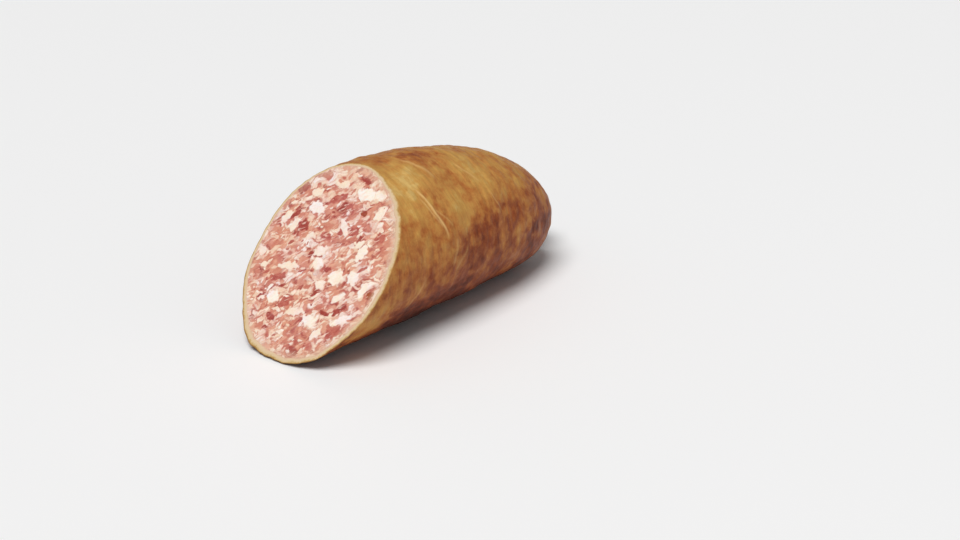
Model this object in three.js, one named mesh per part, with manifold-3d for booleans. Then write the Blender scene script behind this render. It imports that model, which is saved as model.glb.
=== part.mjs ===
// A stump of cured sausage lying on its side. A gut casing is stuffed with coarse mince, sliced off on the
// slant at one end, and gathered at the other into a neck that is tied with twine.
// Millimetres, +Z up. The sausage runs along X with its cut end at -X, and rests on the plane Z = 0.
import * as THREE from "three";
import { mergeVertices } from "three/addons/utils/BufferGeometryUtils.js";
import Module from "manifold-3d";

const wasm = await Module();
wasm.setup();

// Body. A station is a distance along X from the middle of the cut towards the tied end.
const bodyHeight = 60;
const bodyWidth = 62;
const bodyLength = 112.5; // from the middle of the cut to the end of the shoulder
const shoulderLength = 82; // the last stretch of the body, which rounds off towards the neck
const sideBow = -2.6; // how far the tied end stands off the straight line, along Y
const restSag = 0.9; // how much of the round underside the sausage's weight presses flat
const casingThickness = 1.2;
const fillingGap = 0.3; // between the inside of the casing and the filling

// Outlines of the shoulder, each a quarter of a superellipse with its two exponents
const topCurve = [1.7, 2.3];
const sideCurve = [2.0, 2.95];
const undersideCurve = [12, 2];

// Cut plane, which passes through the middle of the body's height at station 0
const cutLean = THREE.MathUtils.degToRad(38); // the top of the cut leans back, towards +X
const cutTurn = THREE.MathUtils.degToRad(2.3);

// Neck, where the casing is gathered, and the tail of casing beyond the twine
const neckHeight = 19; // height of the neck's middle above the table
const neckRadius = 3.9;
const neckFillet = 1.4; // softness of the turn from the shoulder into the neck
const tailLength = 6;
const tailRadius = 5;
const tailTurn = 5; // sideways throw of the tail's tip, towards +Y
const tailDroop = 4;

// Twine
const twineDiameter = 1.5;
const twineTurns = 2;
const twineTurnGap = 0.15; // between one turn and the next
const twineGap = 0.3; // to the casing
const shoulderToTwine = 0.7;
const knotSize = { along: 5.4, out: 3.6, across: 4.4 };
const knotAngle = THREE.MathUtils.degToRad(5); // above the neck's +Y side
const twineEndLength = 6; // of each trimmed end, beyond the knot's middle
const twineEndSpread = THREE.MathUtils.degToRad(31); // how far the ends bend round the neck

// Mesh fineness
const roundSegments = 60;
const straightSteps = 3;
const shoulderSteps = 18;
const neckSteps = 2;
const tailSteps = 4;
const twineSides = 8;
const twineStepsPerTurn = 22;
const twineEndSteps = 7;
const blankMargin = 20; // how far the uncut blank runs on past the cut

// Stations and places that follow from the sizes above
const shoulderStart = bodyLength - shoulderLength;
const twinePitch = twineDiameter + twineTurnGap;
const tieWidth = twineTurns * twinePitch + twineDiameter;
const tieMiddle = bodyLength + shoulderToTwine + tieWidth / 2;
const neckEnd = tieMiddle + tieWidth / 2;
const tailEnd = neckEnd + tailLength;
const cutReach = (bodyHeight / 2) * Math.tan(cutLean) + (bodyWidth / 2) * Math.tan(cutTurn);
const blankStart = -cutReach - blankMargin;

// A quarter of a superellipse: 1 at u = 0, falling to 0 at u = 1.
function quarter(u, [p, q]) {
  return (1 - THREE.MathUtils.clamp(u, 0, 1) ** p) ** (1 / q);
}

// The larger of two radii, with a rounded turn where they cross
function softlyLarger(radius, least) {
  return least + neckFillet * Math.log(1 + Math.exp((radius - least) / neckFillet));
}

// Cross-section of the body at a station, an ellipse. The inset shrinks it for the inner surfaces, and
// gathered adds the neck and the tail, which only the outer skin has.
function section(station, inset, gathered) {
  const u = (station - shoulderStart) / (shoulderLength - inset);
  const middle = neckHeight + restSag;
  let up = (bodyHeight + restSag - middle - inset) * quarter(u, topCurve);
  let down = (middle - inset) * quarter(u, undersideCurve);
  let side = (bodyWidth / 2 - inset) * quarter(u, sideCurve);
  if (gathered) {
    const flare = THREE.MathUtils.smoothstep(station, neckEnd, tailEnd);
    const least = THREE.MathUtils.lerp(neckRadius, tailRadius, flare);
    up = softlyLarger(up, least);
    down = softlyLarger(down, least);
    side = softlyLarger(side, least);
  }
  const tail = Math.max(0, (station - neckEnd) / tailLength) ** 2;
  return {
    halfHeight: (up + down) / 2,
    halfWidth: side,
    middleZ: neckHeight + (up - down) / 2 - tailDroop * tail,
    middleY: sideBow * (station / bodyLength) ** 2 + tailTurn * tail,
  };
}

// Stations of the body's rings, closer together where the shoulder turns in
function bodyStations(inset) {
  const stations = [];
  for (let i = 0; i <= straightSteps; i++) {
    stations.push(THREE.MathUtils.lerp(blankStart, shoulderStart, i / straightSteps));
  }
  for (let i = 1; i < shoulderSteps; i++) {
    const u = Math.sin(((Math.PI / 2) * i) / shoulderSteps);
    stations.push(shoulderStart + u * (shoulderLength - inset));
  }
  return stations;
}

// A round bar of unit radius comes off the lathe, and each of its rings is laid on the cross-section at its
// station. What would sag below the table, or below the skin for an inner surface, is pressed flat.
function bodyBlank(inset, gathered) {
  const stations = bodyStations(inset);
  if (gathered) {
    for (let i = 0; i <= neckSteps; i++) {
      stations.push(THREE.MathUtils.lerp(bodyLength, neckEnd, i / neckSteps));
    }
    for (let i = 1; i <= tailSteps; i++) {
      stations.push(THREE.MathUtils.lerp(neckEnd, tailEnd, i / tailSteps));
    }
  }
  const profile = [new THREE.Vector2(0, blankStart)];
  for (const station of stations) profile.push(new THREE.Vector2(1, station));
  profile.push(new THREE.Vector2(0, gathered ? tailEnd : bodyLength - inset));
  const blank = new THREE.LatheGeometry(profile, roundSegments);
  const position = blank.getAttribute("position");
  for (let i = 0; i < position.count; i++) {
    const station = position.getY(i);
    const at = section(station, inset, gathered);
    const y = at.middleY + at.halfWidth * position.getZ(i);
    const z = at.middleZ + at.halfHeight * position.getX(i);
    position.setXYZ(i, station, y, Math.max(z, inset));
  }
  return blank;
}

function toSolid(geometry) {
  const bare = geometry.clone();
  bare.deleteAttribute("normal");
  bare.deleteAttribute("uv");
  const merged = mergeVertices(bare, 1e-4);
  const vertProperties = new Float32Array(merged.getAttribute("position").array);
  const triVerts = new Uint32Array(merged.index.array);
  return new wasm.Manifold(new wasm.Mesh({ numProp: 3, vertProperties, triVerts }));
}

function toGeometry(solid) {
  const mesh = solid.getMesh();
  const geometry = new THREE.BufferGeometry();
  geometry.setAttribute("position", new THREE.BufferAttribute(mesh.vertProperties, 3));
  geometry.setIndex(new THREE.BufferAttribute(mesh.triVerts, 1));
  geometry.computeVertexNormals();
  return geometry;
}

// What the knife takes off: a block with one face on the cut plane
function offcut() {
  const size = 2 * (bodyHeight + bodyWidth + blankMargin);
  const block = new THREE.BoxGeometry(size, size, size).translate(-size / 2, 0, 0);
  return block.rotateY(cutLean).rotateZ(cutTurn).translate(0, 0, bodyHeight / 2);
}

// A length of twine along a curve
function twineAlong(path, steps) {
  const ring = [];
  for (let i = 0; i < twineSides; i++) {
    const angle = (2 * Math.PI * i) / twineSides;
    ring.push(new THREE.Vector2(Math.cos(angle), Math.sin(angle)).multiplyScalar(twineDiameter / 2));
  }
  return new THREE.ExtrudeGeometry(new THREE.Shape(ring), { steps, bevelEnabled: false, extrudePath: path });
}

// A point beside the neck: along it from the tie's middle, at an angle round it, and clear of its surface
function besideNeck(along, angle, clear) {
  const station = tieMiddle + along;
  const neck = section(THREE.MathUtils.clamp(station, bodyLength, neckEnd), 0, true);
  const out = neck.halfWidth + clear;
  const y = neck.middleY + out * Math.cos(angle);
  return new THREE.Vector3(station, y, neck.middleZ + out * Math.sin(angle));
}

// The turns of twine round the neck, which start and end under the knot
class Turns extends THREE.Curve {
  getPoint(t) {
    const along = (t - 0.5) * twineTurns * twinePitch;
    return besideNeck(along, knotAngle + 2 * Math.PI * twineTurns * t, twineGap + twineDiameter / 2);
  }
}

// A trimmed end of the twine, on the side = 1 or -1 of the knot
function twineEnd(side) {
  const root = twineGap + knotSize.out / 2;
  const bend = side * twineEndSpread;
  const apart = (side * knotSize.along) / 2;
  const middle = besideNeck(apart * 0.8, knotAngle + bend / 2, root + twineEndLength * 0.6);
  const tip = besideNeck(apart, knotAngle + bend, root + twineEndLength);
  return new THREE.QuadraticBezierCurve3(besideNeck(0, knotAngle, root), middle, tip);
}

function tieGeometry() {
  const knot = new THREE.SphereGeometry(0.5, 12, 8).scale(knotSize.along, knotSize.out, knotSize.across);
  const place = besideNeck(0, knotAngle, twineGap + knotSize.out / 2);
  knot.rotateX(knotAngle).translate(place.x, place.y, place.z);
  let tie = toSolid(knot).add(toSolid(twineAlong(new Turns(), twineTurns * twineStepsPerTurn)));
  for (const side of [-1, 1]) tie = tie.add(toSolid(twineAlong(twineEnd(side), twineEndSteps)));
  return toGeometry(tie);
}

function casingGeometry() {
  const skin = toSolid(bodyBlank(0, true));
  const hollow = toSolid(bodyBlank(casingThickness, false));
  return toGeometry(skin.subtract(hollow).subtract(toSolid(offcut())));
}

function fillingGeometry() {
  const filling = toSolid(bodyBlank(casingThickness + fillingGap, false));
  return toGeometry(filling.subtract(toSolid(offcut())));
}

function part(name, geometry, color, roughness) {
  const mesh = new THREE.Mesh(geometry, new THREE.MeshStandardMaterial({ color, roughness, metalness: 0 }));
  mesh.name = name;
  return mesh;
}

const sausage = new THREE.Group();
sausage.add(part("casing", casingGeometry(), 0xa9743f, 0.45));
sausage.add(part("filling", fillingGeometry(), 0xd0847a, 0.55));
sausage.add(part("tie_twine", tieGeometry(), 0xe6dcc3, 0.9));

// The origin is on the table, under the middle of the sausage's length and width.
const middle = new THREE.Box3().setFromObject(sausage).getCenter(new THREE.Vector3());
sausage.position.set(-middle.x, -middle.y, 0);

export default sausage;
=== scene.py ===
import math

import bpy
import numpy as np
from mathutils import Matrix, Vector


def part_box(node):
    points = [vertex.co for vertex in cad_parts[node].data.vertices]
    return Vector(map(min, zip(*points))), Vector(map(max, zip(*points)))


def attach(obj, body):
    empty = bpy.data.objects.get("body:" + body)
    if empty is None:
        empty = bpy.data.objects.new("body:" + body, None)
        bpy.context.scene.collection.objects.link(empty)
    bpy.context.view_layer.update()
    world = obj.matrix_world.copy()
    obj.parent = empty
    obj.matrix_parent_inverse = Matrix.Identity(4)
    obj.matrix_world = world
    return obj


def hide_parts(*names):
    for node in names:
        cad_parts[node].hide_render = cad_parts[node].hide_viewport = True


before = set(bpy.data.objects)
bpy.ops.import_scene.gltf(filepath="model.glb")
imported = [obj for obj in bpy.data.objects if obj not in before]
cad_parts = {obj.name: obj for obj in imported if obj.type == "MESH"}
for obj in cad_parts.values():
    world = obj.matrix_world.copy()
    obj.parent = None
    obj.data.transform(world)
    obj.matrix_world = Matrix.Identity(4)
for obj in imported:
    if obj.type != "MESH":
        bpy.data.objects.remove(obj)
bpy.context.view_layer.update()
mm = 0.001
sharpAngle = math.radians(55)  # edges that turn more than this are shaded as corners
print("frame loaded:", ", ".join(sorted(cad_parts)))

# the body's sizes, in millimetres, as the model has them
body = dict(
    height=60.0,
    width=62.0,
    length=112.5,  # middle of the cut to the end of the shoulder
    shoulder=82.0,  # the stretch that rounds off towards the neck
    bow=-2.6,  # how far the tied end stands off the straight line
    sag=0.35,  # how much the underside is pressed flat
    lean=1.7,  # how far the underside at the cut stands towards +Y
    cornerLean=1.5,  # and how much further its corner does
    slim=0.022,  # how much the +Y side is drawn in there
    lift=0.9,  # how far the lip of the cut stands off the table
    topCurve=(1.7, 2.3),
    sideCurve=(2.0, 2.95),
    underCurve=(12.0, 2.0),
    inset=1.5,  # casing and gap, from the skin to the model's filling
    cutLean=math.radians(38.0),
    cutTurn=math.radians(2.3),
    neckHeight=19.0,
    neckRadius=3.9,
    neckFillet=1.4,
    tailRadius=2.8,
    tailTurn=7.6,
    tailDroop=4.4,
    tailTilt=0.4,  # how far the tail's rings turn with it
    tailShorten=2.6,  # how much of its length the tail loses by bending
)

casingHigh = np.array(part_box("casing")[1]) / mm
fillingHigh = np.array(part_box("filling")[1]) / mm
tieLow, tieHigh = (np.array(corner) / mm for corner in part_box("tie_twine"))
shift = np.array([fillingHigh[0] - (body["length"] - body["inset"]), casingHigh[1] - body["width"] / 2, 0])
neckStart = body["length"]
tieMiddle = (tieLow[0] + tieHigh[0]) / 2 - shift[0]
neckEnd = 2 * tieMiddle - neckStart
tailEnd = casingHigh[0] - shift[0]
unrolled = (body["height"] + body["width"]) / 4  # average radius, which turns angles into distances round


# smoothstep: 0 below low, 1 above high, and an S curve between
def ease(low, high, value):
    t = np.clip((value - low) / (high - low), 0, 1)
    return t * t * (3 - 2 * t)


# from one value to another by a share: first (1 - share) + last share
def blend(first, last, share):
    return first * (1 - share) + last * share


# vectors divided by their lengths
def unit(vectors):
    return vectors / np.maximum(np.linalg.norm(vectors, axis=-1, keepdims=True), 1e-9)


# lumps: the sum of cosine waves with random directions and wavelengths near size, scaled to about -1..1
def waves(points, size, count, rng, stretch=None):
    direction = unit(rng.normal(size=(count, points.shape[-1])))
    direction *= 2 * np.pi / size * rng.uniform(0.7, 1.5, (count, 1))
    if stretch is not None:
        direction = direction / np.array(stretch)
    phase = rng.uniform(0, 2 * np.pi, count)
    total = np.zeros(points.shape[:-1])
    for one, start in zip(direction, phase):
        total += np.cos(points @ one + start)
    return total * math.sqrt(2 / count) * 0.7


# a quarter of a superellipse: (1 - u^p)^(1/q)
def quarter(u, curve):
    return (1 - np.clip(u, 0, 1) ** curve[0]) ** (1 / curve[1])


# the larger of two radii with a rounded turn: least + f ln(1 + e^((radius - least) / f))
def softlyLarger(radius, least):
    fillet = body["neckFillet"]
    return least + fillet * np.logaddexp(0, (radius - least) / fillet)


# a rounded bump of 1 about an angle given in degrees: e^(-(difference / width)^2)
def hump(angle, middle, width):
    difference = (np.degrees(angle) - middle + 180) % 360 - 180
    return np.exp(-((difference / width) ** 2))


# the smooth skin at a station and an angle from the top (towards +Y): an ellipse about a middle line,
# its heights above and below the neck's axis and its half width each falling to the neck's radius. Near the
# cut the underside leans to +Y and lifts, by a share (1 - cos angle) / 2 to the power 1.5
def smoothSkin(station, angle):
    u = (station - (body["length"] - body["shoulder"])) / body["shoulder"]
    middle = body["neckHeight"] + body["sag"]
    flare = ease(neckEnd - 1.5, neckEnd + 2, station)
    least = blend(body["neckRadius"], body["tailRadius"], flare)
    up = softlyLarger((body["height"] + body["sag"] - middle) * quarter(u, body["topCurve"]), least)
    down = softlyLarger(middle * quarter(u, body["underCurve"]), least)
    side = softlyLarger(body["width"] / 2 * quarter(u, body["sideCurve"]), least)
    tail = np.clip((station - neckEnd) / (tailEnd - neckEnd), 0, 2) ** 2
    middleY = body["bow"] * (station / body["length"]) ** 2 + body["tailTurn"] * tail
    middleZ = body["neckHeight"] + (up - down) / 2 - body["tailDroop"] * tail
    under = ((1 - np.cos(angle)) / 2) ** 1.5
    nearCut = 1 - ease(-30, 45, station)
    lean = body["lean"] * (0.15 + 0.85 * nearCut) * (1 - ease(60, 95, station))
    lift = body["lift"] * (1 - ease(-26, -6, station))
    full = 1 - nearCut * body["slim"] * hump(angle, 96, 42)
    lean = lean + body["cornerLean"] * nearCut * hump(angle, 160, 20)
    y = side * np.sin(angle) * full
    z = (up + down) / 2 * np.cos(angle) * full

    # rings of the tail turn with it: x' = -y sin - z sin, by the slopes of its middle line
    slope = 2 * np.sqrt(tail) / (tailEnd - neckEnd)
    turnY = np.arctan(body["tailTurn"] * slope) * body["tailTilt"]
    turnZ = np.arctan(-body["tailDroop"] * slope) * body["tailTilt"]
    x = station - body["tailShorten"] * tail - y * np.sin(turnY) - z * np.sin(turnZ)
    y = middleY + y * np.cos(turnY) + lean * under
    z = middleZ + z * np.cos(turnZ) + lift * under
    return np.stack([x, y, np.maximum(z, 0)], -1)


# the cut plane: a point on it, its outward normal, and the directions across it and up it
cutPoint = np.array([0.0, 0.0, body["height"] / 2])
leanCos, leanSin = math.cos(body["cutLean"]), math.sin(body["cutLean"])
turnCos, turnSin = math.cos(body["cutTurn"]), math.sin(body["cutTurn"])
cutNormal = np.array([-turnCos * leanCos, -turnSin * leanCos, leanSin])
cutAcross = np.array([turnSin, -turnCos, 0.0])
cutUp = np.array([turnCos * leanSin, turnSin * leanSin, leanCos])


# how far each point must move along X to lie on the cut plane
def toCut(points):
    return (cutPoint - points) @ cutNormal / cutNormal[0]


# where the skin at each angle meets the cut plane: the station is corrected until it stays
def cutStation(angle):
    station = np.zeros_like(angle)
    for _ in range(4):
        station = station + toCut(smoothSkin(station, angle))
    return station


# outward normals of a grid of points: the cross product of its two sets of differences
def gridNormals(grid):
    alongRows = np.gradient(grid, axis=0)
    around = np.roll(grid, -1, axis=1) - np.roll(grid, 1, axis=1)
    normal = unit(np.cross(around, alongRows))
    outward = grid - grid.mean(axis=1, keepdims=True)
    flip = np.sign((normal * outward).sum(-1).mean())
    return normal * flip


# a new object, in the scene
def addObject(name, data):
    made = bpy.data.objects.new(name, data)
    bpy.context.scene.collection.objects.link(made)
    return made


# quads between neighbours in a grid of point numbers
def quadsOf(index):
    return np.stack([index[:-1, :-1], index[:-1, 1:], index[1:, 1:], index[1:, :-1]], -1).reshape(-1, 4)


# quads between rows of point numbers that each close on themselves
def bandOf(index):
    return quadsOf(np.concatenate([index, index[:, :1]], 1))


# triangles from a closed row of point numbers to a pole
def fanOf(row, pole):
    return np.stack([row, np.roll(row, -1), np.full(len(row), pole)], -1)


# one closed mesh from rings of points: a band between the rings and a fan to a pole at each open end
def closedRings(name, rings, firstPole, lastPole, attributes):
    points = np.concatenate([rings.reshape(-1, 3), [firstPole, lastPole]])
    index = np.arange(len(points) - 2).reshape(rings.shape[:2])
    first = fanOf(index[0], index.size)[:, ::-1]
    last = fanOf(index[-1], index.size + 1)
    return makeMesh(name, points, [bandOf(index), first, last], attributes)


# a mesh object from points in millimetres and arrays of faces, all turned round when the volume they
# enclose is negative
def makeMesh(name, points, faceSets, attributes):
    mesh = bpy.data.meshes.new(name)
    place = (points + shift) * mm
    volume = signedVolume(place, faceSets)
    if volume < 0:
        faceSets = [faces[:, ::-1] for faces in faceSets]
    sizes = np.concatenate([np.full(len(faces), faces.shape[1]) for faces in faceSets])
    starts = np.concatenate([[0], np.cumsum(sizes)[:-1]])
    loops = np.concatenate([faces.ravel() for faces in faceSets])
    mesh.vertices.add(len(place))
    mesh.vertices.foreach_set("co", place.ravel())
    mesh.loops.add(len(loops))
    mesh.loops.foreach_set("vertex_index", loops)
    mesh.polygons.add(len(sizes))
    mesh.polygons.foreach_set("loop_start", starts)
    mesh.polygons.foreach_set("use_smooth", np.ones(len(sizes), bool))
    mesh.update(calc_edges=True)
    mesh.set_sharp_from_angle(angle=sharpAngle)
    for key, values in attributes.items():
        layer = mesh.attributes.new(key, "FLOAT", "POINT")
        layer.data.foreach_set("value", values.astype(np.float32).ravel())
    print(f"{name}: {(sizes - 2).sum()} triangles, {abs(volume) * 1e6:.1f} cubic cm")
    return addObject(name, mesh)


# volume inside a closed mesh: the sum of the tetrahedra from the origin to each triangle of its fans
def signedVolume(points, faceSets):
    total = 0.0
    for faces in faceSets:
        for k in range(1, faces.shape[1] - 1):
            a, b, c = (points[faces[:, corner]] for corner in (0, k, k + 1))
            total += (a * np.cross(b, c)).sum() / 6
    return total


# where the camera stands and looks, and its lens
camera = dict(
    turn=-43.48,  # degrees round the sausage, from the -Y side towards -X
    above=23.33,  # degrees above the table
    distance=613.5,  # millimetres from the body's middle height at station 0
    aimTurn=-49.16,
    aimDown=23.65,
    lens=65.47,  # millimetres, on a 36 mm wide sensor
)


# a direction from the cut's middle, by degrees round it and above it: (sin t cos a, -cos t cos a, sin a)
def wayOut(turn, above):
    turn, above = math.radians(turn), math.radians(above)
    return Vector((math.sin(turn) * math.cos(above), -math.cos(turn) * math.cos(above), math.sin(above)))


# the camera stands out one way from the cut's middle and looks back along another
def makeCamera():
    away = wayOut(camera["turn"], camera["above"])
    forward = -wayOut(camera["aimTurn"], camera["aimDown"])
    data = bpy.data.cameras.new("camera")
    data.lens = camera["lens"]
    data.sensor_width = 36
    eye = addObject("camera", data)
    eye.location = (Vector(cutPoint + shift) + away * camera["distance"]) * mm
    eye.rotation_euler = forward.to_track_quat("-Z", "Y").to_euler()
    bpy.context.scene.camera = eye


makeCamera()
print("camera placed")

# the casing: its grid, the wall on the cut, and how high its lumps, wrinkles, folds and pleats are
casing = dict(
    seed=3,
    around=272,
    rimRows=84,  # rows of the grid from the cut to where every ring stands square to the body
    squareFrom=42.0,  # the station where they do
    rowStep=0.5,
    wall=[(-180, 2.2), (-135, 1.6), (-95, 1.9), (-60, 2.4), (-30, 1.8), (0, 1.1), (45, 0.8), (90, 1.2),
          (120, 1.8), (145, 2.5), (165, 2.6), (180, 2.2)],  # degrees from the top, and thickness on the cut
    lump=0.30,  # heights of the lumps of the stuffing, of the mince under the skin and of the wrinkles
    mince=0.11,
    wrinkle=0.055,
    lumpSize=24.0,
    minceSize=5.0,
    wrinkleSize=1.9,
    creaseHeight=0.16,
    pleats=13,
    pleatDepth=1.0,
    tailPleatDepth=1.0,
    caps=[(0.93, -0.12), (0.8, 0.05), (0.62, 0.5), (0.4, 1.0), (0.2, 1.4)],  # tail's end: ring size and dip
    capDip=1.6,  # depth of its pole
)

# pale folds and veins in the skin: start and end as (station, degrees from the top), width, height share
creases = [
    ((28.6, -33), (34.2, -79), 0.45, 1),
    ((27.6, -42), (33, -72), 0.30, 0.55),
    ((31, -52), (37.5, -70), 0.25, 0.4),
    ((38.5, -74), (34.5, -99), 0.55, 0.34),
    ((44, -84), (36, -104), 0.55, 0.30),
    ((35, -6), (42, -36), 0.7, 0.5),
    ((55, -22), (61, -46), 0.5, 0.5),
    ((62, -52), (66, -70), 0.35, 0.4),
    ((22, -96), (14, -122), 0.4, 0.4),
    ((78, 40), (70, 88), 0.6, 0.42),
    ((40, 62), (48, 104), 0.5, 0.55),
    ((18, 70), (24, 110), 0.7, 0.30),
]

# patches where the skin is paler (above 0) or darker and redder (below 0): station, degrees from the top,
# half length along the body, half length round it, and strength
stains = [
    (31, -26, 9, 9, 0.26), (44, -8, 12, 7, -0.10), (60, -34, 9, 12, 0.14), (40, -62, 6, 9, 0.10),
    (52, -84, 7, 9, -0.20), (66, -74, 9, 6, -0.12), (84, -82, 8, 8, -0.05), (12, -108, 9, 8, 0.14),
    (30, -92, 6, 9, -0.05), (-2, -122, 8, 12, 0.50), (72, -50, 7, 9, 0.08), (90, -40, 7, 8, 0.08),
    (22, -60, 5, 9, 0.08), (14, 40, 10, 12, 0.14), (40, 70, 11, 10, -0.16), (62, 96, 12, 9, -0.16),
    (80, 60, 10, 12, 0.16), (56, 34, 8, 10, 0.12), (30, 110, 9, 7, -0.10), (96, 90, 8, 9, -0.10),
    (70, 10, 9, 9, -0.08), (104, -20, 7, 8, 0.10), (27, -126, 10, 7, -0.20), (4, -74, 7, 8, 0.12),
    (43, -100, 7, 6, 0.10), (46, -38, 6, 6, 0.08),
]


# distance from each skin point to a line of stations and angles, on the unrolled skin, and how far along it:
# share = (p . way) / (way . way), distance = |p - share way|
def fromLine(station, angle, start, end):
    x, y = station - start[0], (angle - math.radians(start[1])) * unrolled
    wayX, wayY = end[0] - start[0], math.radians(end[1] - start[1]) * unrolled
    share = (x * wayX + y * wayY) / (wayX ** 2 + wayY ** 2)
    return np.hypot(x - share * wayX, y - share * wayY), share


# folds round the neck: 0 in each crease and 1 on the ridge between, |sin| of an unevenly stretched angle
def foldShape(angle):
    uneven = angle + 0.22 * np.sin(2 * angle + 1.0) + 0.10 * np.sin(5 * angle + 2.0)
    return np.abs(np.sin(uneven * casing["pleats"] / 2)) ** 0.7


# stations of the square rings, evenly spaced along the outline of the average radius
def ringStations():
    fine = np.concatenate([
        np.linspace(casing["squareFrom"], neckStart - 2, 600),
        np.linspace(neckStart - 2, neckStart + 0.3, 500)[1:],
        np.linspace(neckStart + 0.3, tailEnd, 200)[1:],
    ])
    angle = np.linspace(0, 2 * np.pi, 8, endpoint=False)
    skin = smoothSkin(fine[:, None], angle[None, :])
    steps = np.linalg.norm(np.diff(skin, axis=0), axis=-1).mean(1)
    travelled = np.concatenate([[0], np.cumsum(steps)])
    count = int(travelled[-1] / casing["rowStep"])
    return np.interp(np.linspace(0, travelled[-1], count), travelled, fine)


# the whole skin: rings that lean with the cut less and less up to squareFrom, then square ones; each point is
# moved along its normal by the sum of lumps, grains, wrinkles and folds, less the pleats
def skinGrid():
    rng = np.random.default_rng(casing["seed"])
    angle = np.linspace(-np.pi, np.pi, casing["around"], endpoint=False)
    cut = cutStation(angle)
    share = np.linspace(0, 1, casing["rimRows"], endpoint=False)[:, None]
    slanted = blend(cut, casing["squareFrom"], share)
    square = np.repeat(ringStations()[:, None], len(angle), axis=1)
    station = np.concatenate([slanted, square])
    angles = np.broadcast_to(angle, station.shape)
    smooth = smoothSkin(station, angles)
    normal = gridNormals(smooth)
    onBody = 1 - ease(neckStart - 6, neckStart, station)

    # lumps of the stuffing, then grains of mince, then fine wrinkles that run round the body in patches
    height = casing["lump"] * waves(smooth, casing["lumpSize"], 30, rng) * onBody
    height += casing["mince"] * waves(smooth, casing["minceSize"], 60, rng) * onBody
    patches = np.clip(0.6 + 0.6 * waves(smooth, 16, 24, rng), 0.1, 1.5)
    wrinkles = waves(smooth, casing["wrinkleSize"], 60, rng, stretch=(1, 5, 5))
    height += casing["wrinkle"] * wrinkles * patches * onBody

    crease = np.zeros_like(station)
    wobble = waves(smooth, 9, 20, rng) * 0.35
    for start, end, width, share in creases:
        off, along = fromLine(station + wobble, angles, start, end)
        shape = np.exp(-((off / width) ** 2)) * ease(0, 0.25, along) * (1 - ease(0.7, 1.0, along))
        crease = np.maximum(crease, shape * share)
    height += casing["creaseHeight"] * crease

    drift = waves(smooth, 8, 24, rng) * 2.2
    stain = np.zeros_like(station)
    for at, turn, length, breadth, strength in stains:
        sideways = (angles - math.radians(turn)) * unrolled
        stain += strength * np.exp(-(((station + drift - at) / length) ** 2) - (sideways / breadth) ** 2)

    # pleats: shallow on the shoulder, squeezed under the twine, deep in the tail
    fold = foldShape(angles)
    reach = np.linalg.norm(smooth[..., 1:] - smooth[..., 1:].mean(axis=1, keepdims=True), axis=-1)
    onShoulder = (1 - ease(5, 17, reach)) * ease(neckStart - 14, neckStart - 4, station)
    underTwine = ease(neckStart - 0.5, neckStart + 1, station) * (1 - ease(neckEnd - 1, neckEnd + 1, station))
    inTail = ease(neckEnd - 1, neckEnd + 2.5, station)
    depth = casing["pleatDepth"] * onShoulder * (1 - 0.7 * underTwine) * (1 - inTail)
    depth += casing["tailPleatDepth"] * inTail
    height -= depth * (1 - fold)
    # the pleats' creases, kept as a mask for painted shade
    pleatShade = np.clip(depth / casing["pleatDepth"], 0, 1) * (1 - fold)

    skin = smooth + normal * height[..., None]
    skin[..., 2] = np.maximum(skin[..., 2], 0)
    near = 1 - ease(0, 10, station - cut)
    skin[..., 0] += toCut(skin[0]) * near
    return angle, station, skin, gridNormals(skin), crease, pleatShade, stain


angle, station, skin, skinNormal, crease, pleatShade, stain = skinGrid()


# thickness of the wall at each angle: eased from one given thickness to the next, and a little uneven
def wallAt(angle):
    degrees, given = np.array(casing["wall"]).T
    turn = np.degrees(angle)
    index = np.clip(np.searchsorted(degrees, turn, side="right") - 1, 0, len(degrees) - 2)
    share = ease(degrees[index], degrees[index + 1], turn)
    uneven = 0.08 * np.sin(7 * angle + 1) + 0.07 * np.sin(17 * angle) + 0.05 * np.sin(31 * angle + 2)
    return blend(given[index], given[index + 1], share) + uneven


# the outline of the filling on the cut: the skin's outline moved in by the wall, square to itself
def rimOutline():
    across = (skin[0] - cutPoint) @ cutAcross
    up = (skin[0] - cutPoint) @ cutUp
    outer = np.stack([across, up], -1)
    along = unit(np.roll(outer, -3, axis=0) - np.roll(outer, 3, axis=0))
    inward = np.stack([-along[:, 1], along[:, 0]], -1)
    inward *= -np.sign((inward * outer).sum(1, keepdims=True))
    return outer, outer + inward * wallAt(angle)[:, None]


rimOuter, rimInner = rimOutline()


# a point on the cut, raised off it by a height
def onCut(outline, height):
    flat = cutPoint + outline[..., :1] * cutAcross + outline[..., 1:] * cutUp
    return flat + np.asarray(height)[..., None] * cutNormal


# rows of the hidden inside: the skin moved in along its normals
def insideRows(depth, count):
    start = int(np.argmax((station - station[0]).min(axis=1) > 3.0))
    end = int(np.argmax(station[:, 0] > neckStart - 1.2))
    rows = np.linspace(start, end, count).astype(int)
    return skin[rows] - skinNormal[rows] * depth[None, :, None]


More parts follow.
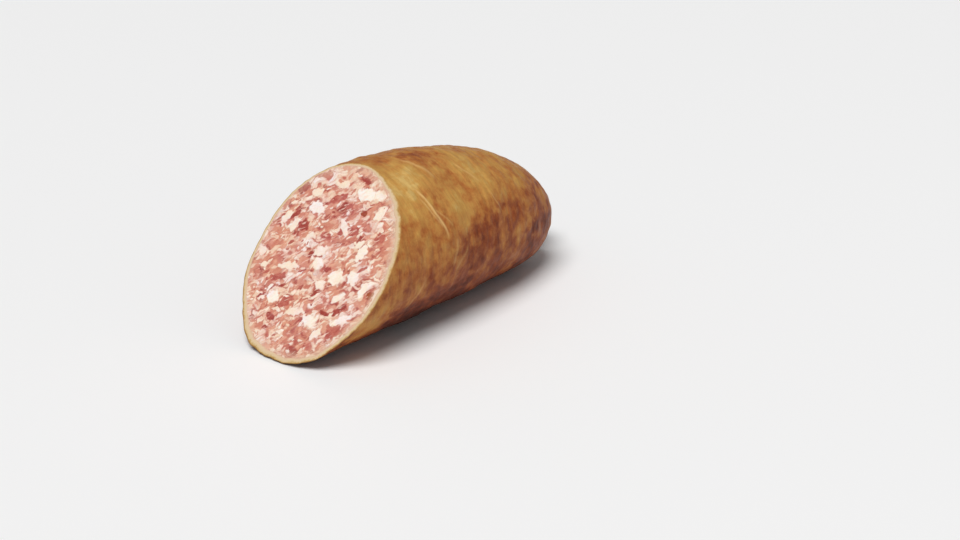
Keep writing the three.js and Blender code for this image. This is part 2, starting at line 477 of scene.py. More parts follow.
# one closed shell: the inside from a pole to the cut, the rim across the wall, the skin from the cut to the
# tail, and the tail's end dished in to a pole
def makeCasing():
    share = np.array([0.0, 0.08, 0.2, 0.35, 0.5, 0.65, 0.8, 0.92])[:, None]
    uneven = 0.07 + 0.035 * np.sin(9 * angle + 1) + 0.025 * np.sin(23 * angle)
    bulge = (1 - (2 * share - 1) ** 4) * uneven
    rim = onCut(blend(rimInner, rimOuter, share[..., None]), bulge)
    inside = insideRows(wallAt(angle), 20)[::-1]
    tailCentre = skin[-1].mean(axis=0)
    tailWay = unit(tailCentre - skin[-6].mean(axis=0))
    mean = np.linalg.norm(skin[-1] - tailCentre, axis=1).mean()
    cap = []
    for size, dip in casing["caps"]:
        ring = tailCentre + (skin[-1] - tailCentre) * size
        spread = np.linalg.norm(ring - tailCentre, axis=1, keepdims=True) / (mean * size)
        cap.append(ring - tailWay * (dip + 0.7 * (1 - spread) * size))
    rings = np.concatenate([inside, rim, skin, np.array(cap)])
    insidePole = inside[0].mean(axis=0)
    tailPole = tailCentre - tailWay * casing["capDip"]

    # one value for every point, in the order of the rings and then the poles
    def layer(rimValues, skinValues, insideValue=0.0):
        parts = [np.full(inside.shape[:2], insideValue), rimValues * np.ones(rim.shape[:2]), skinValues]
        parts += [np.repeat(skinValues[-1:], len(cap), axis=0)]
        return np.concatenate([np.concatenate(parts).ravel(), [insideValue, skinValues[-1].mean()]])

    onRim = layer(1 - ease(0.82, 1.0, share), np.zeros_like(station), 1.0)
    edge = 1 - ease(0, 0.55, station - station[0])
    attributes = dict(
        rim=onRim,
        across=layer(share, np.ones_like(station)),
        edge=layer(np.ones_like(share), edge),
        crease=layer(0 * share, crease),
        pleatShade=layer(0 * share, pleatShade),
        stain=layer(0 * share, stain),
    )
    return closedRings("casingSkin", rings, insidePole, tailPole, attributes)


# the mince on the cut: three sizes of pieces, the way they lie, and how far they stand out
mince = dict(
    seed=11,
    grid=256,
    reach=(34.0, 42.0),  # half of the area that the pieces are scattered over, in millimetres
    grain=40.0,  # degrees: the way most pieces lie on the cut
    grainSpread=22.0,
    coarse=dict(pitch=3.5, stretch=(1.4, 3.4), share=1.0, fat=0.30),
    medium=dict(pitch=2.15, stretch=(1.5, 4.0), share=0.62, fat=0.41),
    fine=dict(pitch=1.3, stretch=(1.2, 3.2), share=0.28, fat=0.47),
    relief=0.16,
)

# larger pieces that stand out on the cut: across, up, length, width, turn in degrees, and whiteness
fatPieces = [
    (6.8, 28.1, 8.5, 5, 8, 1), (12.5, 29, 5, 3.4, 0, 0.85), (-11.9, 18.5, 6.2, 4.4, 5, 0.9),
    (-14.2, -16.5, 5.6, 4.4, 20, 0.95), (-14.4, 23.9, 5.5, 3.2, 20, 0.6), (15.8, -1.5, 4.6, 5.6, 0, 0.8),
    (8.5, -3.2, 6.6, 5, 45, 0.85), (3.4, -7.3, 4.5, 3.2, 20, 0.75), (-1.1, -0.2, 4.2, 4.2, 30, 0.85),
    (-2.4, 4.2, 6, 3.6, 20, 0.7), (15.2, 8.1, 7.5, 3.8, 70, 0.9), (-13.2, -4.4, 9.5, 2.8, 14, 0.65),
    (-27, -2.3, 4.2, 3.6, 0, 0.6), (22, -4.4, 6.2, 3, 75, 0.85), (28.2, -5.7, 7, 2.4, 85, 0.7),
    (18.2, -16.3, 9.5, 2.3, 40, 0.9), (-2.6, -19, 8.5, 2.8, 18, 0.6), (5.2, -20.4, 6.5, 4, 0, 0.85),
    (3.6, 14.6, 7.5, 2.6, -50, 0.7), (-23.2, 12.2, 5.6, 3, 70, 0.65), (-18.2, 10, 5.5, 2.6, 80, 0.6),
    (16, 23, 6, 3.2, 60, 0.75), (-4, 29.5, 5, 2.6, 30, 0.55), (12.8, 10.5, 4, 2.2, 50, 0.7),
    (-24, -6.5, 3.4, 2.4, 20, 0.6), (10.2, -24, 5.5, 2.8, 50, 0.7), (-9.5, 8, 4, 2.2, 45, 0.6),
    (13.5, -9.5, 6, 1.8, 50, 0.75),
]
# the same for lean pieces, the last number being how dark; past 1.1 it is rust brown
leanPieces = [
    (8.7, 21.6, 3.2, 2.4, 20, 1.25), (-19.6, 14.2, 6.5, 1.8, 55, 0.95), (3.9, -31.8, 4.6, 2.4, -10, 1),
    (15.6, -13.2, 7.5, 2.4, 48, 0.95), (4, -1.2, 3, 2.4, 20, 1), (7.8, 14.2, 6, 3.4, 20, 0.75),
    (-8, -16.8, 7, 3.8, 45, 0.75), (-2.8, 9.6, 5.2, 3.2, 0, 0.75), (17, -21.5, 7.5, 3.8, 30, 0.75),
    (-14.5, 11, 4.6, 5, 0, 0.95), (4, 33, 6, 2.4, -15, 0.95), (-4, 24, 9, 3, 30, 0.75),
    (2, 22, 4, 3, 0, 0.75), (20, 15, 5, 4, 0, 0.75), (-21, 24, 6, 3.4, 45, 0.95),
    (25.5, -5, 3.4, 2.4, 60, 1.25), (-16.5, -9.5, 8, 2.4, 30, 0.75), (-6, 2, 4, 2, 60, 1),
    (10, -16, 5, 2, 0, 1), (-12, -23.5, 5, 2.6, 0, 0.95),
]


# nearest and second nearest of scattered seeds, each measured along its own stretched and turned axes
def nearestSeeds(points, layer, rng):
    pitch = layer["pitch"]
    reachX, reachY = mince["reach"]
    column, row = np.meshgrid(np.arange(int(2 * reachX / pitch) + 2), np.arange(int(2 * reachY / pitch) + 2))
    column, row = column.ravel(), row.ravel()
    count = len(column)
    seedX = (column + 0.5 * (row % 2) - 0.5 + rng.uniform(-0.48, 0.48, count)) * pitch - reachX
    seedY = (row - 0.5 + rng.uniform(-0.48, 0.48, count)) * pitch - reachY
    turn = np.radians(mince["grain"] + mince["grainSpread"] * rng.normal(size=count))
    stretch = np.sqrt(rng.uniform(*layer["stretch"], count))
    size = rng.uniform(0.75, 1.3, count)
    order = np.argsort(points[:, 0], kind="stable")
    x, y = points[order, 0], points[order, 1]
    first, second = np.full((2, len(x)), 1e9)
    owner = np.zeros(len(x), int)
    low = np.searchsorted(x, seedX - 2.6 * pitch)
    high = np.searchsorted(x, seedX + 2.6 * pitch)
    for seed in range(count):
        part = slice(low[seed], high[seed])
        dx, dy = x[part] - seedX[seed], y[part] - seedY[seed]
        c, s, q = math.cos(turn[seed]), math.sin(turn[seed]), stretch[seed]
        away = np.hypot((dx * c + dy * s) / q, (dy * c - dx * s) * q) / size[seed]
        nearer = away < first[part]
        second[part] = np.where(nearer, first[part], np.minimum(second[part], away))
        owner[part] = np.where(nearer, seed, owner[part])
        first[part] = np.where(nearer, away, first[part])
    back = np.argsort(order, kind="stable")
    return first[back], second[back], owner[back], count


# how far inside an ellipse each point is: 1 at its middle, 0 on its edge
def insidePiece(points, piece):
    across, up, length, width, turn = piece[:5]
    c, s = math.cos(math.radians(turn)), math.sin(math.radians(turn))
    dx, dy = points[:, 0] - across, points[:, 1] - up
    return 1 - np.hypot((dx * c + dy * s) / (length / 2), (dy * c - dx * s) / (width / 2))


# the mince on the cut: how fat, which tone, and how near a seam each point is. Three layers of stretched
# cells lie over each other, with their borders bent by waves, and the larger pieces lie on top
def minceAt(points):
    rng = np.random.default_rng(mince["seed"])
    slow = np.stack([waves(points, 7, 24, rng), waves(points, 7, 24, rng)], -1)
    quick = np.stack([waves(points, 2.2, 30, rng), waves(points, 2.2, 30, rng)], -1)
    bent = points + 0.55 * slow + 0.16 * quick
    fat, tone, seam = np.zeros((3, len(points)))
    for name in ("coarse", "medium", "fine"):
        layer = mince[name]
        first, second, owner, count = nearestSeeds(bent, layer, rng)
        fatness = 1 - ease(layer["fat"] - 0.10, layer["fat"] + 0.16, rng.uniform(size=count))
        tones = rng.uniform(size=count)
        shown = (rng.uniform(size=count) < layer["share"]).astype(float)
        border = (second - first) / layer["pitch"]
        use = np.ones(len(points)) if name == "coarse" else shown[owner] * ease(0, 0.3, border)
        fat = blend(fat, fatness[owner], use)
        tone = blend(tone, tones[owner], use)
        line = (1 - ease(0, 0.4, border)) * (1.0 if name == "coarse" else 0.8 * shown[owner])
        seam = np.maximum(seam * (1 - 0.6 * use), line)
    ragged = 0.15 * waves(points, 2.6, 24, rng) + 0.05 * waves(points, 1.1, 24, rng)
    softBent = 0.65 * points + 0.35 * bent
    for pieces, fatness, softness in ((fatPieces, 1, 0.16), (leanPieces, 0, 0.20)):
        for piece in pieces:
            use = ease(-0.12, softness, insidePiece(softBent, piece) + ragged)
            fat = blend(fat, fatness, use)
            tone = blend(tone, piece[5], use)
            seam = blend(seam, 0, use)
    return fat, tone, seam


# values given at the grid's angles, read at any angle by straight lines between them
def periodic(values, at):
    return np.stack([np.interp(at, angle, column, period=2 * np.pi) for column in values.T], -1)


# a square grid bent onto a disc, x sqrt(1 - y^2 / 2) and y sqrt(1 - x^2 / 2), and each radius of the disc
# stretched to the outline of the filling; the wall behind it follows the casing's inside to a pole
def makeFilling():
    n = mince["grid"]
    line = np.linspace(-1, 1, n)
    squareX, squareY = np.meshgrid(line, line)
    discX = squareX * np.sqrt(1 - squareY ** 2 / 2)
    discY = squareY * np.sqrt(1 - squareX ** 2 / 2)
    radius = np.hypot(discX, discY).ravel()
    direction = np.arctan2(discY, discX).ravel() - np.pi / 2
    outline = periodic(rimInner, direction)
    flat = outline * radius[:, None]
    fat, tone, seam = minceAt(flat)
    small = waves(flat, 0.9, 40, np.random.default_rng(mince["seed"] + 1))
    edge = 1 - ease(0.0, 0.03, 1 - radius)
    height = (mince["relief"] * (0.7 * (fat - 0.5) - 0.8 * seam + 0.22 * small) - 0.04) * (1 - edge)
    face = onCut(flat, height)

    index = np.arange(n * n).reshape(n, n)
    border = np.concatenate([index[0, :-1], index[:-1, -1], index[-1, :0:-1], index[:0:-1, 0]])
    turn = direction[border]
    rows = insideRows(wallAt(angle) + 0.12, 14)
    wall = np.stack([periodic(row, turn) for row in rows])
    pole = wall[-1].mean(axis=0)

    ring = n * n + np.arange(len(rows) * len(border)).reshape(len(rows), -1)
    side = bandOf(np.concatenate([border[None, :], ring]))[:, [0, 3, 2, 1]]
    back = fanOf(ring[-1], n * n + ring.size)[:, ::-1]
    points = np.concatenate([face, wall.reshape(-1, 3), [pole]])
    behind = ring.size + 1
    rind = ease(0.89, 0.99, radius) * (0.6 + 0.4 * np.cos(direction + 1.2))
    attributes = {}
    layers = ("fat", fat, 0.3), ("tone", tone, 0.5), ("seam", seam, 0.0), ("rind", rind, 1.0)
    for key, front, rest in layers:
        attributes[key] = np.concatenate([front, np.full(behind, rest)])
    return makeMesh("minceFilling", points, [quadsOf(index), side, back], attributes)


# the twine: its three strands, its turns round the neck, its knot and its ends
twine = dict(
    strandRadius=0.40,
    strandOffset=0.36,
    lay=4.6,  # millimetres for a full twist of the strands
    around=24,
    step=0.16,
    turns=2,
    turnPitch=1.65,
    knotAngle=math.radians(5),
    knotSpread=math.radians(26),
    knotTwist=0.78,
    underKnot=(1.1, 0.4, 1.1),  # half knots: how far out, where the twist starts, and its half turns
    overKnot=(2.5, 2.0, -1.0),
    endLength=4.2,
)


# a point beside the neck: along from the tie's middle, at an angle up from its +Y side, out from its axis
def besideNeck(along, turn, out):
    at = np.clip(tieMiddle + along, neckStart, neckEnd)
    middleY = body["bow"] * (at / body["length"]) ** 2
    y = middleY + out * np.cos(turn)
    return np.stack([tieMiddle + along + 0 * turn, y, body["neckHeight"] + out * np.sin(turn)], -1)


# the twine's run: an end, two half knots one over the other, the turns round the neck, the same half knots
# from the other side, and the other end
def twinePath():
    radius = twine["strandRadius"] + twine["strandOffset"]
    close = body["neckRadius"] + 0.06 + radius
    t = np.linspace(0, 1, 90)
    half = twine["turns"] * twine["turnPitch"] / 2
    sweep = 2 * np.pi * twine["turns"] - 2 * twine["knotSpread"]
    start = twine["knotAngle"] + twine["knotSpread"]
    turns = besideNeck((2 * t - 1) * half, start + sweep * t, close + 0 * t)

    # one strand's way through a half knot: across the knot while it goes round the other strand
    def halfKnot(side, phase, out, start, twists):
        across = np.linspace(side, -side, 14)
        spin = start + phase + twists * np.pi * across
        offset = twine["knotTwist"]
        turn = twine["knotAngle"] + twine["knotSpread"] * across
        return besideNeck(offset * np.cos(spin), turn, close + out + offset * np.sin(spin))

    # a trimmed end: away from the knot and outwards, drooping by the power 1.5 of its length
    def end(side):
        s = np.linspace(0.15, 1, 8)
        along = side * (0.6 + 1.6 * s)
        turn = twine["knotAngle"] + side * (twine["knotSpread"] + 0.1 * s) - 0.35 * s ** 1.5
        return besideNeck(along, turn, close + twine["overKnot"][0] + twine["endLength"] * s ** 0.85)

    ways = []
    for side, phase in ((1, 0), (-1, np.pi)):
        under = halfKnot(side, phase, *twine["underKnot"])
        over = halfKnot(-side, phase, *twine["overKnot"])
        ways.append(np.concatenate([under, over, end(side)]))
    return np.concatenate([ways[0][::-1], turns, ways[1]])


# the path with its corners rounded by averaging, then walked at an even step
def evenPath(path, step):
    dense = resample(path, 0.1)
    kernel = np.hanning(17)
    kernel /= kernel.sum()
    padded = np.concatenate([np.repeat(dense[:1], 8, 0), dense, np.repeat(dense[-1:], 8, 0)])
    smooth = np.stack([np.convolve(padded[:, k], kernel, "valid") for k in range(3)], -1)
    return resample(smooth, step)


# a path walked at an even step: each coordinate read off against the distance travelled
def resample(path, step):
    travelled = np.concatenate([[0], np.cumsum(np.linalg.norm(np.diff(path, axis=0), axis=1))])
    at = np.linspace(0, travelled[-1], int(travelled[-1] / step) + 1)
    return np.stack([np.interp(at, travelled, path[:, k]) for k in range(3)], -1)


# a frame that doesn't spin along a path: each normal is the last one with its share along the path removed
def steadyFrame(path):
    tangent = unit(np.gradient(path, axis=0))
    normal = np.zeros_like(path)
    current = np.cross(tangent[0], [0.3, 0.2, 1.0])
    for k in range(len(path)):
        current = normal[k] = unit(current - tangent[k] * (current @ tangent[k]))
    return tangent, normal, np.cross(tangent, normal)


# the outline of three round strands laid together, d cos a + sqrt(r^2 - d^2 sin^2 a) about the nearest
# strand, turned along the path and carried along it; the cut ends flare and close on a point
def makeTwine():
    path = evenPath(twinePath(), twine["step"])
    tangent, normal, binormal = steadyFrame(path)
    travelled = np.arange(len(path)) * twine["step"]
    around = np.linspace(0, 2 * np.pi, twine["around"], endpoint=False)
    twist = 2 * np.pi * travelled / twine["lay"]
    third = 2 * np.pi / 3
    nearest = (around[None, :] - twist[:, None] + third / 2) % third - third / 2
    d, r = twine["strandOffset"], twine["strandRadius"]
    radius = d * np.cos(nearest) + np.sqrt(r ** 2 - (d * np.sin(nearest)) ** 2)
    fromEnd = np.minimum(travelled, travelled[-1] - travelled)
    radius = radius * (1 + 0.22 * np.exp(-fromEnd / 0.5))[:, None]
    rng = np.random.default_rng(5)
    run = travelled[:, None] + 0 * radius
    radius += 0.02 * waves(np.stack([run, 3 * radius], -1), 2.5, 20, rng)
    spoke = np.cos(around)[:, None] * normal[:, None] + np.sin(around)[:, None] * binormal[:, None]
    rings = path[:, None] + radius[..., None] * spoke
    # how deep in the grooves between strands each point lies, as a mask for painted shade
    grooveShade = 1 - ease(0.35, 0.95, radius / (d + r))
    grooveShade = np.concatenate([grooveShade.ravel(), [0.5, 0.5]])
    lay = np.concatenate([(nearest / third).ravel(), [0, 0]])
    run = np.concatenate([run.ravel(), [0, travelled[-1]]])
    attributes = dict(grooveShade=grooveShade, lay=lay, run=run)
    poles = path[0] - tangent[0] * 0.1, path[-1] + tangent[-1] * 0.1
    return closedRings("neckTwine", rings, *poles, attributes)


casingPiece = makeCasing()
fillingPiece = makeFilling()
twinePiece = makeTwine()
print("pieces made")


# a material or group's node tree, with short calls that place a node, set its sockets and wire it
class Nodes:
    def __init__(self, tree):
        self.tree = tree

    def add(self, kind, settings=None, **sockets):
        node = self.tree.nodes.new(kind)
        for key, value in (settings or {}).items():
            setattr(node, key, value)
        self.feed(node, **sockets)
        return node

    # values for a node's sockets, the first ones in their order and the rest by name
    def feed(self, node, *values, **named):
        for socket, value in zip(node.inputs, values):
            self.put(socket, value)
        for key, value in named.items():
            self.put(node.inputs[key.replace("_", " ")], value)

    def put(self, socket, value):
        if isinstance(value, bpy.types.NodeSocket):
            self.tree.links.new(value, socket)
        else:
            socket.default_value = value

    def math(self, operation, a, b=0.0, clamp=False):
        node = self.add("ShaderNodeMath", dict(operation=operation, use_clamp=clamp))
        self.feed(node, a, b)
        return node.outputs[0]

    # a base plus an amount times how far a value stands off one half
    def sway(self, base, value, amount):
        return self.math("ADD", base, self.math("MULTIPLY", self.math("SUBTRACT", value, 0.5), amount))

    # the sum of values, each times its share
    def weigh(self, *pairs):
        total, share = pairs[0]
        total = self.math("MULTIPLY", total, share)
        for value, share in pairs[1:]:
            total = self.math("ADD", total, self.math("MULTIPLY", value, share))
        return total

    # heights, in shares of a distance, as the shader's bumped normal
    def bump(self, shader, height, strength, distance):
        node = self.add("ShaderNodeBump", Strength=strength, Distance=distance, Height=height)
        self.feed(shader, Normal=node.outputs["Normal"])

    def mix(self, share, a, b, blend="MIX"):
        node = self.add("ShaderNodeMix", dict(data_type="RGBA", blend_type=blend))
        self.put(node.inputs[0], share)
        self.put(node.inputs[6], a)
        self.put(node.inputs[7], b)
        return node.outputs[2]

    def ramp(self, value, stops):
        node = self.add("ShaderNodeValToRGB")
        while len(node.color_ramp.elements) < len(stops):
            node.color_ramp.elements.new(0.5)
        for element, (position, shade) in zip(node.color_ramp.elements, stops):
            element.position = position
            element.color = colour(*shade)
        self.feed(node, value)
        return node.outputs[0]

    def span(self, value, low, high, outLow=0.0, outHigh=1.0):
        node = self.add("ShaderNodeMapRange", dict(interpolation_type="SMOOTHSTEP"))
        self.feed(node, value, low, high, outLow, outHigh)
        return node.outputs[0]

    def attribute(self, name):
        return self.add("ShaderNodeAttribute", dict(attribute_name=name)).outputs["Fac"]

    # a colour laid over a base as far as an attribute times a strength says
    def over(self, name, strength, base, colour):
        return self.mix(self.math("MULTIPLY", self.attribute(name), strength), base, colour)

    def objectPoint(self, scale=(1, 1, 1)):
        point = self.add("ShaderNodeTexCoord").outputs["Object"]
        return self.add("ShaderNodeMapping", Vector=point, Scale=scale).outputs[0]

    def noise(self, vector, scale, detail=2.0, roughness=0.5, distortion=0.0):
        node = self.add("ShaderNodeTexNoise", Vector=vector, Scale=scale, Detail=detail)
        self.feed(node, Roughness=roughness, Distortion=distortion)
        return node.outputs["Fac"]


# a colour given as seen on a screen, 0 to 255, as the linear value that a socket takes
def colour(*seen):
    shares = [value / 255 for value in seen]
    return (*(x / 12.92 if x <= 0.04045 else ((x + 0.055) / 1.055) ** 2.4 for x in shares), 1.0)


# two sizes of speckle laid together, as a mask and as a height, for any matte food or fibre surface
def makeSpeckle():
    group = bpy.data.node_groups.new("speckle", "ShaderNodeTree")
    for name, side, kind in (("Vector", "INPUT", "Vector"), ("Scale", "INPUT", "Float"),
                             ("Sharpness", "INPUT", "Float"), ("Mask", "OUTPUT", "Float"),
                             ("Height", "OUTPUT", "Float")):
        group.interface.new_socket(name=name, in_out=side, socket_type="NodeSocket" + kind)
    n = Nodes(group)
    vector, scale, sharpness = list(n.add("NodeGroupInput").outputs)[:3]
    coarse = n.noise(vector, scale, 3.0, 0.6)
    fine = n.noise(vector, n.math("MULTIPLY", scale, 3.7), 2.0, 0.5)
    both = n.weigh((coarse, 0.65), (fine, 0.35))
    centred = n.math("MULTIPLY", n.math("SUBTRACT", both, 0.5), sharpness)
    n.add("NodeGroupOutput", Mask=n.math("ADD", centred, 0.5, clamp=True), Height=both)
    return group


speckle = makeSpeckle()


# the speckle group placed in a material, as its mask and its height
def addSpeckle(n, vector, scale, sharpness):
    node = n.add("ShaderNodeGroup", dict(node_tree=speckle), Vector=vector, Scale=scale, Sharpness=sharpness)
    return node.outputs["Mask"], node.outputs["Height"]


# a new material, its node tree and its Principled shader
def newMaterial(name):
    material = bpy.data.materials.new(name)
    material.use_nodes = True
    n = Nodes(material.node_tree)
    shader = material.node_tree.nodes["Principled BSDF"]
    return material, n, shader


casingLook = dict(
    skin=[(0, (72, 28, 14)), (0.18, (104, 45, 23)), (0.36, (143, 72, 37)), (0.52, (174, 107, 54)),
          (0.68, (190, 134, 70)), (0.84, (197, 149, 78)), (1, (206, 170, 102))],
    vein=colour(232, 190, 124),
    pleatShade=colour(96, 50, 32),
    rim=[(0, (238, 200, 176)), (0.26, (242, 216, 188)), (0.55, (236, 214, 177)), (0.80, (212, 181, 126)),
         (1, (168, 122, 68))],
    ochre=colour(176, 138, 76),
)


# dried gut: tone from cells, clouds, mottle, stains and height (a redder, browner lower side and painted
# shade), through a ramp of browns, then fibres, folds, painted shade in the pleats, and the pale wall on the
# cut
def makeCasingMaterial():
    material, n, shader = newMaterial("driedGutCasing")
    look = casingLook
    point = n.objectPoint()

    # the mince shows through as soft-edged cells, with slower clouds of colour over them
    bend = n.add("ShaderNodeTexNoise", Vector=point, Scale=190.0, Detail=3.0).outputs["Color"]
    bend = n.add("ShaderNodeVectorMath", dict(operation="SCALE"), Vector=bend, Scale=0.006).outputs[0]
    bent = n.add("ShaderNodeVectorMath")
    n.feed(bent, point, bend)
    stretched = n.add("ShaderNodeMapping", Vector=bent.outputs[0], Scale=(1.0, 0.85, 0.85)).outputs[0]
    smooth = dict(feature="SMOOTH_F1")
    cells = n.add("ShaderNodeTexVoronoi", smooth, Vector=stretched, Scale=250.0, Smoothness=0.6)
    cell = n.add("ShaderNodeSeparateColor", Color=cells.outputs["Color"]).outputs["Red"]
    clouds = n.noise(n.objectPoint((1.0, 0.8, 0.8)), 58.0, 5.0, 0.62, 0.4)
    mottle = n.noise(n.objectPoint((1.0, 0.8, 0.8)), 400.0, 5.0, 0.68, 0.3)
    tone = n.sway(n.attribute("stain"), cell, 0.22)
    tone = n.sway(n.sway(tone, clouds, 0.80), mottle, 0.60)

    # the lower sides are redder and browner, and also darker as painted shade, with a ragged edge to the
    # change
    height = n.add("ShaderNodeSeparateXYZ", Vector=point).outputs["Z"]
    ragged = n.noise(point, 70.0, 4.0, 0.62)
    level = n.sway(height, ragged, 0.026)
    tone = n.math("ADD", tone, n.span(level, 0.008, 0.050, -0.36, 0.0))
    # the band next to the table is darker still: painted shade
    tone = n.math("ADD", tone, n.span(level, 0.0, 0.016, -0.20, 0.0))
    base = n.ramp(n.math("ADD", tone, 0.64), look["skin"])

    # fine fibres run round the body, stronger in some places than in others
    fibres = n.noise(n.objectPoint((1.0, 0.16, 0.16)), 560.0, 3.0, 0.6, 0.25)
    thread = n.noise(n.objectPoint((1.0, 0.10, 0.10)), 1500.0, 2.0, 0.5)
    lines = n.weigh((fibres, 0.6), (thread, 0.4))
    shade = n.span(lines, 0.35, 0.65, 0.905, 1.085)
    grey = n.add("ShaderNodeCombineColor", Red=shade, Green=shade, Blue=shade).outputs[0]
    base = n.mix(1.0, base, grey, "MULTIPLY")
    base = n.over("crease", 0.9, base, look["vein"])
    # painted shade in the creases of the pleats
    base = n.over("pleatShade", 0.6, base, look["pleatShade"])

    # on the cut the wall is pale inside and ochre at the skin
    mask, grainHeight = addSpeckle(n, point, 420.0, 2.2)
    across = n.sway(n.attribute("across"), mask, 0.62)
    base = n.mix(n.attribute("rim"), base, n.ramp(across, look["rim"]))
    base = n.over("edge", 0.35, base, look["ochre"])
    rough = n.span(n.noise(point, 210.0, 3.0, 0.6), 0.3, 0.7, 0.38, 0.56)
    n.feed(shader, Base_Color=base, Roughness=rough, Specular_IOR_Level=0.13)
    n.bump(shader, n.weigh((lines, 0.5), (grainHeight, 0.6), (mottle, 0.5)), 0.6, 0.0005)
    return material


minceLook = dict(
    leanTones=[(0, (228, 171, 148)), (0.23, (216, 146, 126)), (0.46, (201, 120, 105)),
               (0.62, (184, 96, 86)), (0.78, (158, 62, 56)), (1, (166, 86, 52))],
    fatTones=[(0, (239, 207, 186)), (0.4, (247, 225, 206)), (0.8, (253, 240, 228)), (1, (255, 248, 243))],
    seam=colour(216, 154, 132),
    fleck=colour(250, 226, 208),
    rind=colour(234, 204, 176),
    peach=colour(255, 250, 241),
    mauve=colour(253, 248, 251),
)


# mince: lean and fat colours by tone, mixed by how fat each point is, with seams, fibres, flecks and a rind
def makeFillingMaterial():
    material, n, shader = newMaterial("coarseMince")
    look = minceLook
    point = n.objectPoint()
    mask, grainHeight = addSpeckle(n, point, 900.0, 2.0)
    slow = n.noise(point, 330.0, 3.0, 0.6, 0.4)

    # directions along the grain of the cut, across it and through it, for the fibres of the meat
    grain = math.radians(mince["grain"])
    along = math.cos(grain) * cutAcross + math.sin(grain) * cutUp
    crossways = math.cos(grain) * cutUp - math.sin(grain) * cutAcross
    shares = []
    for direction, scale in ((along, 0.3), (crossways, 1.0), (cutNormal, 0.6)):
        dot = n.add("ShaderNodeVectorMath", dict(operation="DOT_PRODUCT"))
        n.feed(dot, point, tuple(direction * scale))
        shares.append(dot.outputs["Value"])
    grainPoint = n.add("ShaderNodeCombineXYZ", X=shares[0], Y=shares[1], Z=shares[2]).outputs[0]
    fibre = n.noise(grainPoint, 2300.0, 3.0, 0.65, 0.6)
    streak = n.noise(grainPoint, 1050.0, 2.0, 0.5, 0.5)

    tone = n.sway(n.attribute("tone"), mask, 0.30)
    tone = n.sway(n.sway(tone, slow, 0.6), fibre, 0.75)
    lean = n.ramp(n.math("DIVIDE", tone, 1.3), look["leanTones"])
    fat = n.attribute("fat")
    ragged = n.sway(n.sway(fat, mask, 0.34), slow, 0.3)
    base = n.mix(n.span(ragged, 0.05, 0.95), lean, n.ramp(tone, look["fatTones"]))
    base = n.over("seam", n.span(slow, 0.35, 0.6, 0.35, 0.8), base, look["seam"])
    fleck = n.math("MULTIPLY", n.span(streak, 0.56, 0.66), n.span(slow, 0.40, 0.55, 0.15, 0.65))
    base = n.mix(fleck, base, look["fleck"])

    # some areas are warmer and some cooler
    warmth = n.span(n.noise(point, 120.0, 2.0, 0.5), 0.38, 0.62)
    base = n.mix(1.0, base, n.mix(warmth, look["mauve"], look["peach"]), "MULTIPLY")
    base = n.over("rind", n.span(mask, 0.3, 0.7, 0.4, 0.8), base, look["rind"])
    n.feed(shader, Base_Color=base, Roughness=n.span(ragged, 0.1, 0.9, 0.42, 0.30), Specular_IOR_Level=0.35,
           Subsurface_Weight=0.15, Subsurface_Radius=(0.0018, 0.0009, 0.0006), Subsurface_Scale=1.0)
    n.bump(shader, n.weigh((grainHeight, 0.7), (fat, 0.3), (fibre, 0.5)), 0.5, 0.0003)
    return material


twineLook = dict(cotton=colour(226, 214, 186), worn=colour(196, 168, 120), grooveShade=colour(150, 120, 80))


# cotton: speckled, with painted shade in the grooves between strands, with yarn fibres in relief
def makeTwineMaterial():
    material, n, shader = newMaterial("cottonTwine")
    point = n.objectPoint()
    mask, grainHeight = addSpeckle(n, point, 900.0, 2.0)
    base = n.mix(mask, twineLook["cotton"], twineLook["worn"])
    # painted shade in the grooves between strands
    base = n.over("grooveShade", 0.7, base, twineLook["grooveShade"])
    # yarn fibres lie along the strands, so they cross the twine on a slant
    slant = n.weigh((n.attribute("lay"), 5.0), (n.attribute("run"), 2.2))
    fibre = n.math("SINE", n.math("MULTIPLY", slant, math.tau))
    n.feed(shader, Base_Color=base, Roughness=0.9)
    n.bump(shader, n.math("ADD", n.math("MULTIPLY", fibre, 0.12), grainHeight), 0.6, 0.0002)
    return material


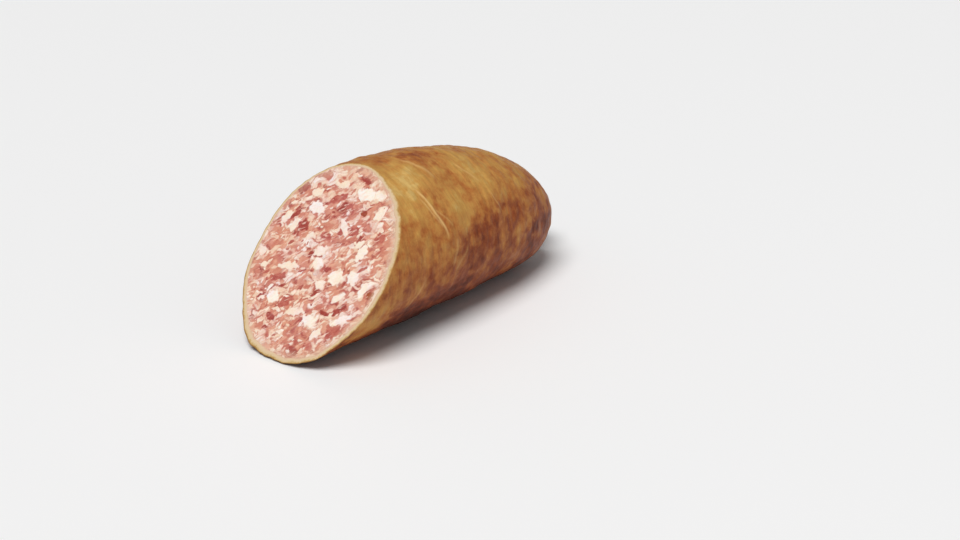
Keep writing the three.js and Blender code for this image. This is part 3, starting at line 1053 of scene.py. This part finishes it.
for piece, material, node, slot in (
    (casingPiece, makeCasingMaterial(), "casing", "casing"),
    (fillingPiece, makeFillingMaterial(), "filling", "filling"),
    (twinePiece, makeTwineMaterial(), "tie_twine", "twine"),
):
    piece.data.materials.append(material)
    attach(piece, "root")
    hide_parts(node)
print("materials made")

# the table, the light from all round, the key light and the fill light
studio = dict(
    floorSize=24.0,
    floor=colour(250, 250, 250),
    floorRoughness=0.6,
    ambient=0.22,
    backdrop=0.90,  # brightness of what shows beyond the table
    keyPower=2.5,
    keySoftness=math.radians(34),
    keyFrom=(-0.95, -0.34, 2.25),
    fillPower=0.4,
    fillFrom=(0.25, -1.1, 0.55),
    fillSize=1.2,
)


# a lamp at a place, turned towards the middle of the sausage
def addLight(kind, name, power, place):
    light = bpy.data.lights.new(name, kind)
    light.energy = power
    lamp = addObject(name, light)
    lamp.location = place
    lamp.rotation_euler = (Vector((0, 0, 0.03)) - Vector(place)).to_track_quat("-Z", "Y").to_euler()
    return light


# the table top, the light from the world, a brighter backdrop that only the camera sees, and two lamps
def makeStudio():
    half = studio["floorSize"] / 2
    mesh = bpy.data.meshes.new("table")
    corners = [(-half, -half, 0), (half, -half, 0), (half, half, 0), (-half, half, 0)]
    mesh.from_pydata(corners, [], [(0, 1, 2, 3)])
    floor = addObject("table", mesh)
    material, n, shader = newMaterial("paleTable")
    n.feed(shader, Base_Color=studio["floor"], Roughness=studio["floorRoughness"])
    mesh.materials.append(material)

    world = bpy.data.worlds.new("studio")
    world.use_nodes = True
    n = Nodes(world.node_tree)
    seen = n.add("ShaderNodeLightPath").outputs["Is Camera Ray"]
    extra = n.math("MULTIPLY", seen, studio["backdrop"] - studio["ambient"])
    strength = n.math("ADD", studio["ambient"], extra)
    n.feed(world.node_tree.nodes["Background"], Color=(1, 1, 1, 1), Strength=strength)
    bpy.context.scene.world = world

    key = addLight("SUN", "key", studio["keyPower"], studio["keyFrom"])
    key.angle = studio["keySoftness"]
    fill = addLight("AREA", "fill", studio["fillPower"], studio["fillFrom"])
    fill.shape = "DISK"
    fill.size = studio["fillSize"]
    bpy.context.scene.view_settings.view_transform = "Standard"


makeStudio()
print("studio lit")
